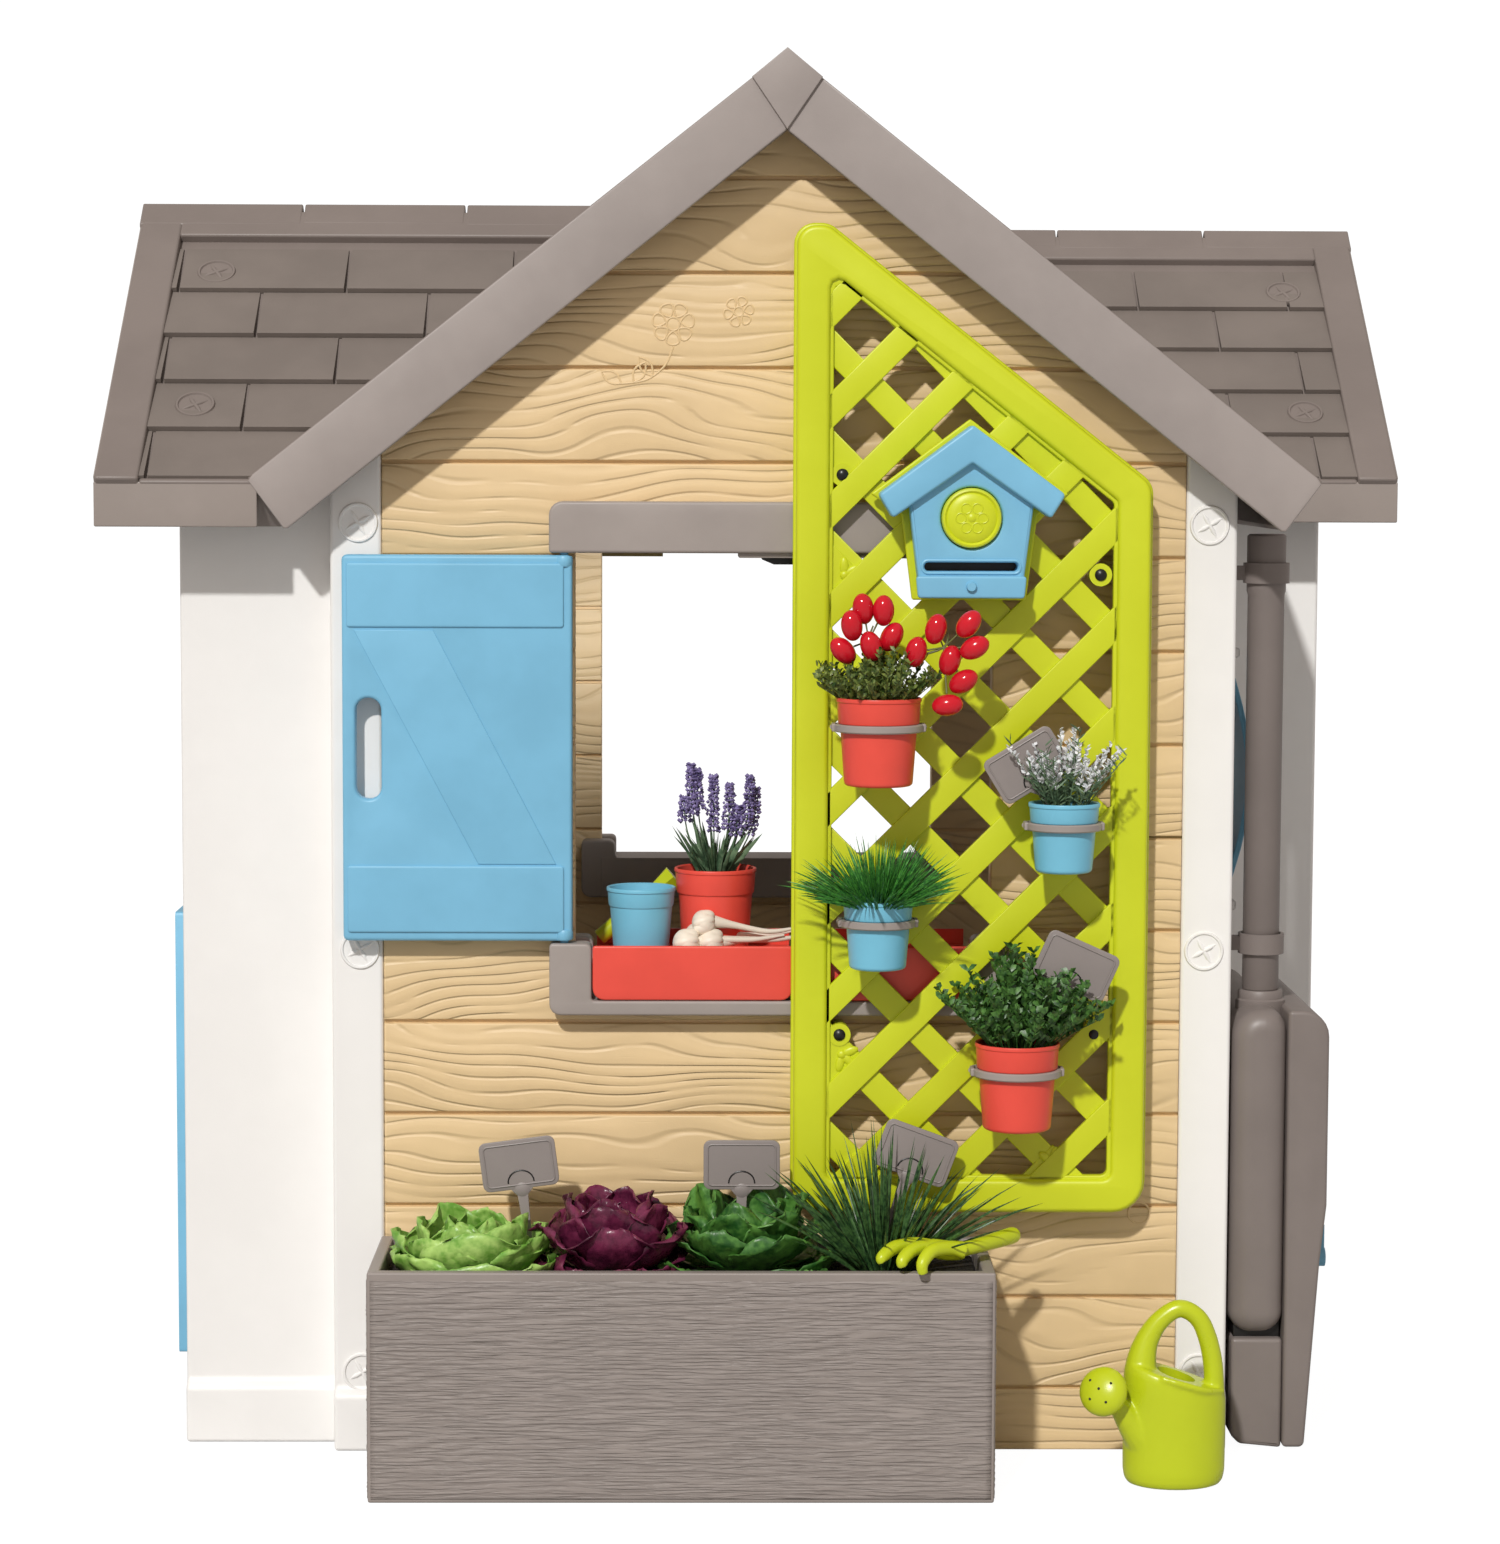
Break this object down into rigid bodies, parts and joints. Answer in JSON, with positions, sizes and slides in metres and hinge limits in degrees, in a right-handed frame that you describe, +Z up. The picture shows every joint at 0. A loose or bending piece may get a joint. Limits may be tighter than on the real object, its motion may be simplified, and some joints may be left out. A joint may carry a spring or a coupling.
{
  "type": "plastic playhouse",
  "caption": "Gabled garden playhouse with side wings, window shutters, half door, trellis with hanging pots, door bell, planter, water tank with downpipe and garden tools.",
  "frame": {"origin": "middle of the whole footprint at ground level", "axes": "+Z up, +X to the right seen from the front, +Y from the front window wall towards the back"},
  "size_m": [1.317, 1.2529, 1.3506],
  "materials": {
    "wall_beige": "satin moulded plastic",
    "panel_white": "satin moulded plastic",
    "stone_wall": "satin moulded plastic",
    "roof_grey": "satin moulded plastic",
    "window_grey": "satin moulded plastic",
    "shutter_blue": "satin moulded plastic",
    "hinge_grey": "satin moulded plastic",
    "trellis_lime": "satin moulded plastic",
    "bell_blue": "satin moulded plastic",
    "bell_lime": "satin moulded plastic",
    "clip_grey": "satin moulded plastic",
    "pot_red": "satin moulded plastic",
    "pot_blue": "satin moulded plastic",
    "tray_red": "satin moulded plastic",
    "planter_grey": "satin moulded plastic",
    "insert_black": "satin moulded plastic",
    "label_grey": "satin moulded plastic",
    "tank_grey": "satin moulded plastic",
    "pipe_grey": "satin moulded plastic",
    "tap_grey": "satin moulded plastic",
    "tap_blue": "satin moulded plastic",
    "tool_lime": "satin moulded plastic"
  },
  "bodies": {
    "house_shell": {"bell_back_plate": "trellis_lime", "bell_box": "bell_blue", "corner_post_front_left": "panel_white", "corner_post_front_right": "panel_white", "corner_post_rear_left": "panel_white", "corner_post_rear_right": "panel_white", "downpipe": "pipe_grey", "front_wall": "wall_beige", "front_window_ledge": "window_grey", "front_window_lintel": "window_grey", "half_door_hinge_post": "hinge_grey", "ledge_tray_left": "tray_red", "ledge_tray_right": "tray_red", "left_side_wall": "stone_wall", "left_wing_front_panel": "panel_white", "left_wing_gable_wall": "panel_white", "left_wing_rear_panel": "panel_white", "pipe_clip_lower": "pipe_grey", "pipe_clip_upper": "pipe_grey", "pot_clip_lower_right": "clip_grey", "pot_clip_middle_left": "clip_grey", "pot_clip_right": "clip_grey", "pot_clip_upper_left": "clip_grey", "rear_wall": "wall_beige", "rear_window_ledge": "window_grey", "rear_window_lintel": "window_grey", "right_side_wall": "stone_wall", "right_wing_front_panel": "panel_white", "right_wing_gable_wall": "panel_white", "right_wing_rear_panel": "panel_white", "roof_panel_front_left": "roof_grey", "roof_panel_front_right": "roof_grey", "roof_panel_rear_left": "roof_grey", "roof_panel_rear_right": "roof_grey", "tap_spout": "tap_grey", "trellis": "trellis_lime", "water_tank": "tank_grey"},
    "front_shutter_leaf": {"front_shutter": "shutter_blue"},
    "left_side_shutter_board": {"left_side_shutter": "shutter_blue"},
    "right_side_shutter_board": {"right_side_shutter": "shutter_blue"},
    "half_door_leaf": {"half_door": "shutter_blue"},
    "bell_push": {"bell_button": "bell_lime"},
    "tap_handle": {"tap_lever": "tap_blue"},
    "planter": {"planter_box": "planter_grey", "planting_insert": "insert_black", "plant_label_left": "label_grey", "plant_label_middle": "label_grey", "plant_label_right": "label_grey"},
    "rake": {"hand_rake": "tool_lime"},
    "trowel": {"hand_trowel": "tool_lime"},
    "pot_upper_left": {"trellis_pot_upper_left": "pot_red"},
    "pot_right": {"trellis_pot_right": "pot_blue", "plant_label_right_pot": "label_grey"},
    "pot_middle_left": {"trellis_pot_middle_left": "pot_blue"},
    "pot_lower_right": {"trellis_pot_lower_right": "pot_red", "plant_label_lower_pot": "label_grey"},
    "pot_ledge_blue": {"ledge_pot_blue": "pot_blue"},
    "pot_ledge_red": {"ledge_pot_red": "pot_red"},
    "can": {"watering_can": "tool_lime"}
  },
  "joints": [
    {"name": "front_shutter_hinge", "type": "hinge", "parent": "house_shell", "child": "front_shutter_leaf", "pos_m": [-0.2126, -0.4395, 0.5], "axis": [0, 0, 1], "range_deg": [0, 178]},
    {"name": "left_side_shutter_slide", "type": "slide", "parent": "house_shell", "child": "left_side_shutter_board", "axis": [0, -1, 0], "range_m": [0, 0.12]},
    {"name": "right_side_shutter_slide", "type": "slide", "parent": "house_shell", "child": "right_side_shutter_board", "axis": [0, 1, 0], "range_m": [0, 0.12]},
    {"name": "half_door_hinge", "type": "hinge", "parent": "house_shell", "child": "half_door_leaf", "pos_m": [-0.5995, 0.0565, 0.3], "axis": [0, 0, -1], "range_deg": [0, 100]},
    {"name": "bell_push_slide", "type": "slide", "parent": "house_shell", "child": "bell_push", "axis": [0, 1, 0], "range_m": [0, 0.004], "stiffness_N_per_m": 400},
    {"name": "tap_turn", "type": "hinge", "parent": "house_shell", "child": "tap_handle", "pos_m": [0.555, -0.2635, 0.16], "axis": [1, 0, 0], "range_deg": [0, 90]},
    {"name": "planter_slide", "type": "slide", "parent": "house_shell", "child": "planter", "axis": [0, -1, 0], "range_m": [0, 0.1]},
    {"name": "rake_lift", "type": "slide", "parent": "planter", "child": "rake", "axis": [0, 0, 1], "range_m": [0, 0.05]},
    {"name": "trowel_lift", "type": "slide", "parent": "house_shell", "child": "trowel", "axis": [0, 0, 1], "range_m": [0, 0.03]},
    {"name": "pot_upper_left_lift", "type": "slide", "parent": "house_shell", "child": "pot_upper_left", "axis": [0, 0, 1], "range_m": [0, 0.05]},
    {"name": "pot_right_lift", "type": "slide", "parent": "house_shell", "child": "pot_right", "axis": [0, 0, 1], "range_m": [0, 0.05]},
    {"name": "pot_middle_left_lift", "type": "slide", "parent": "house_shell", "child": "pot_middle_left", "axis": [0, 0, 1], "range_m": [0, 0.05]},
    {"name": "pot_lower_right_lift", "type": "slide", "parent": "house_shell", "child": "pot_lower_right", "axis": [0, 0, 1], "range_m": [0, 0.05]},
    {"name": "pot_ledge_blue_lift", "type": "slide", "parent": "house_shell", "child": "pot_ledge_blue", "axis": [0, 0, 1], "range_m": [0, 0.05]},
    {"name": "pot_ledge_red_lift", "type": "slide", "parent": "house_shell", "child": "pot_ledge_red", "axis": [0, 0, 1], "range_m": [0, 0.05]},
    {"name": "can_lift", "type": "slide", "parent": "house_shell", "child": "can", "axis": [0, 0, 1], "range_m": [0, 0.1]}
  ]
}
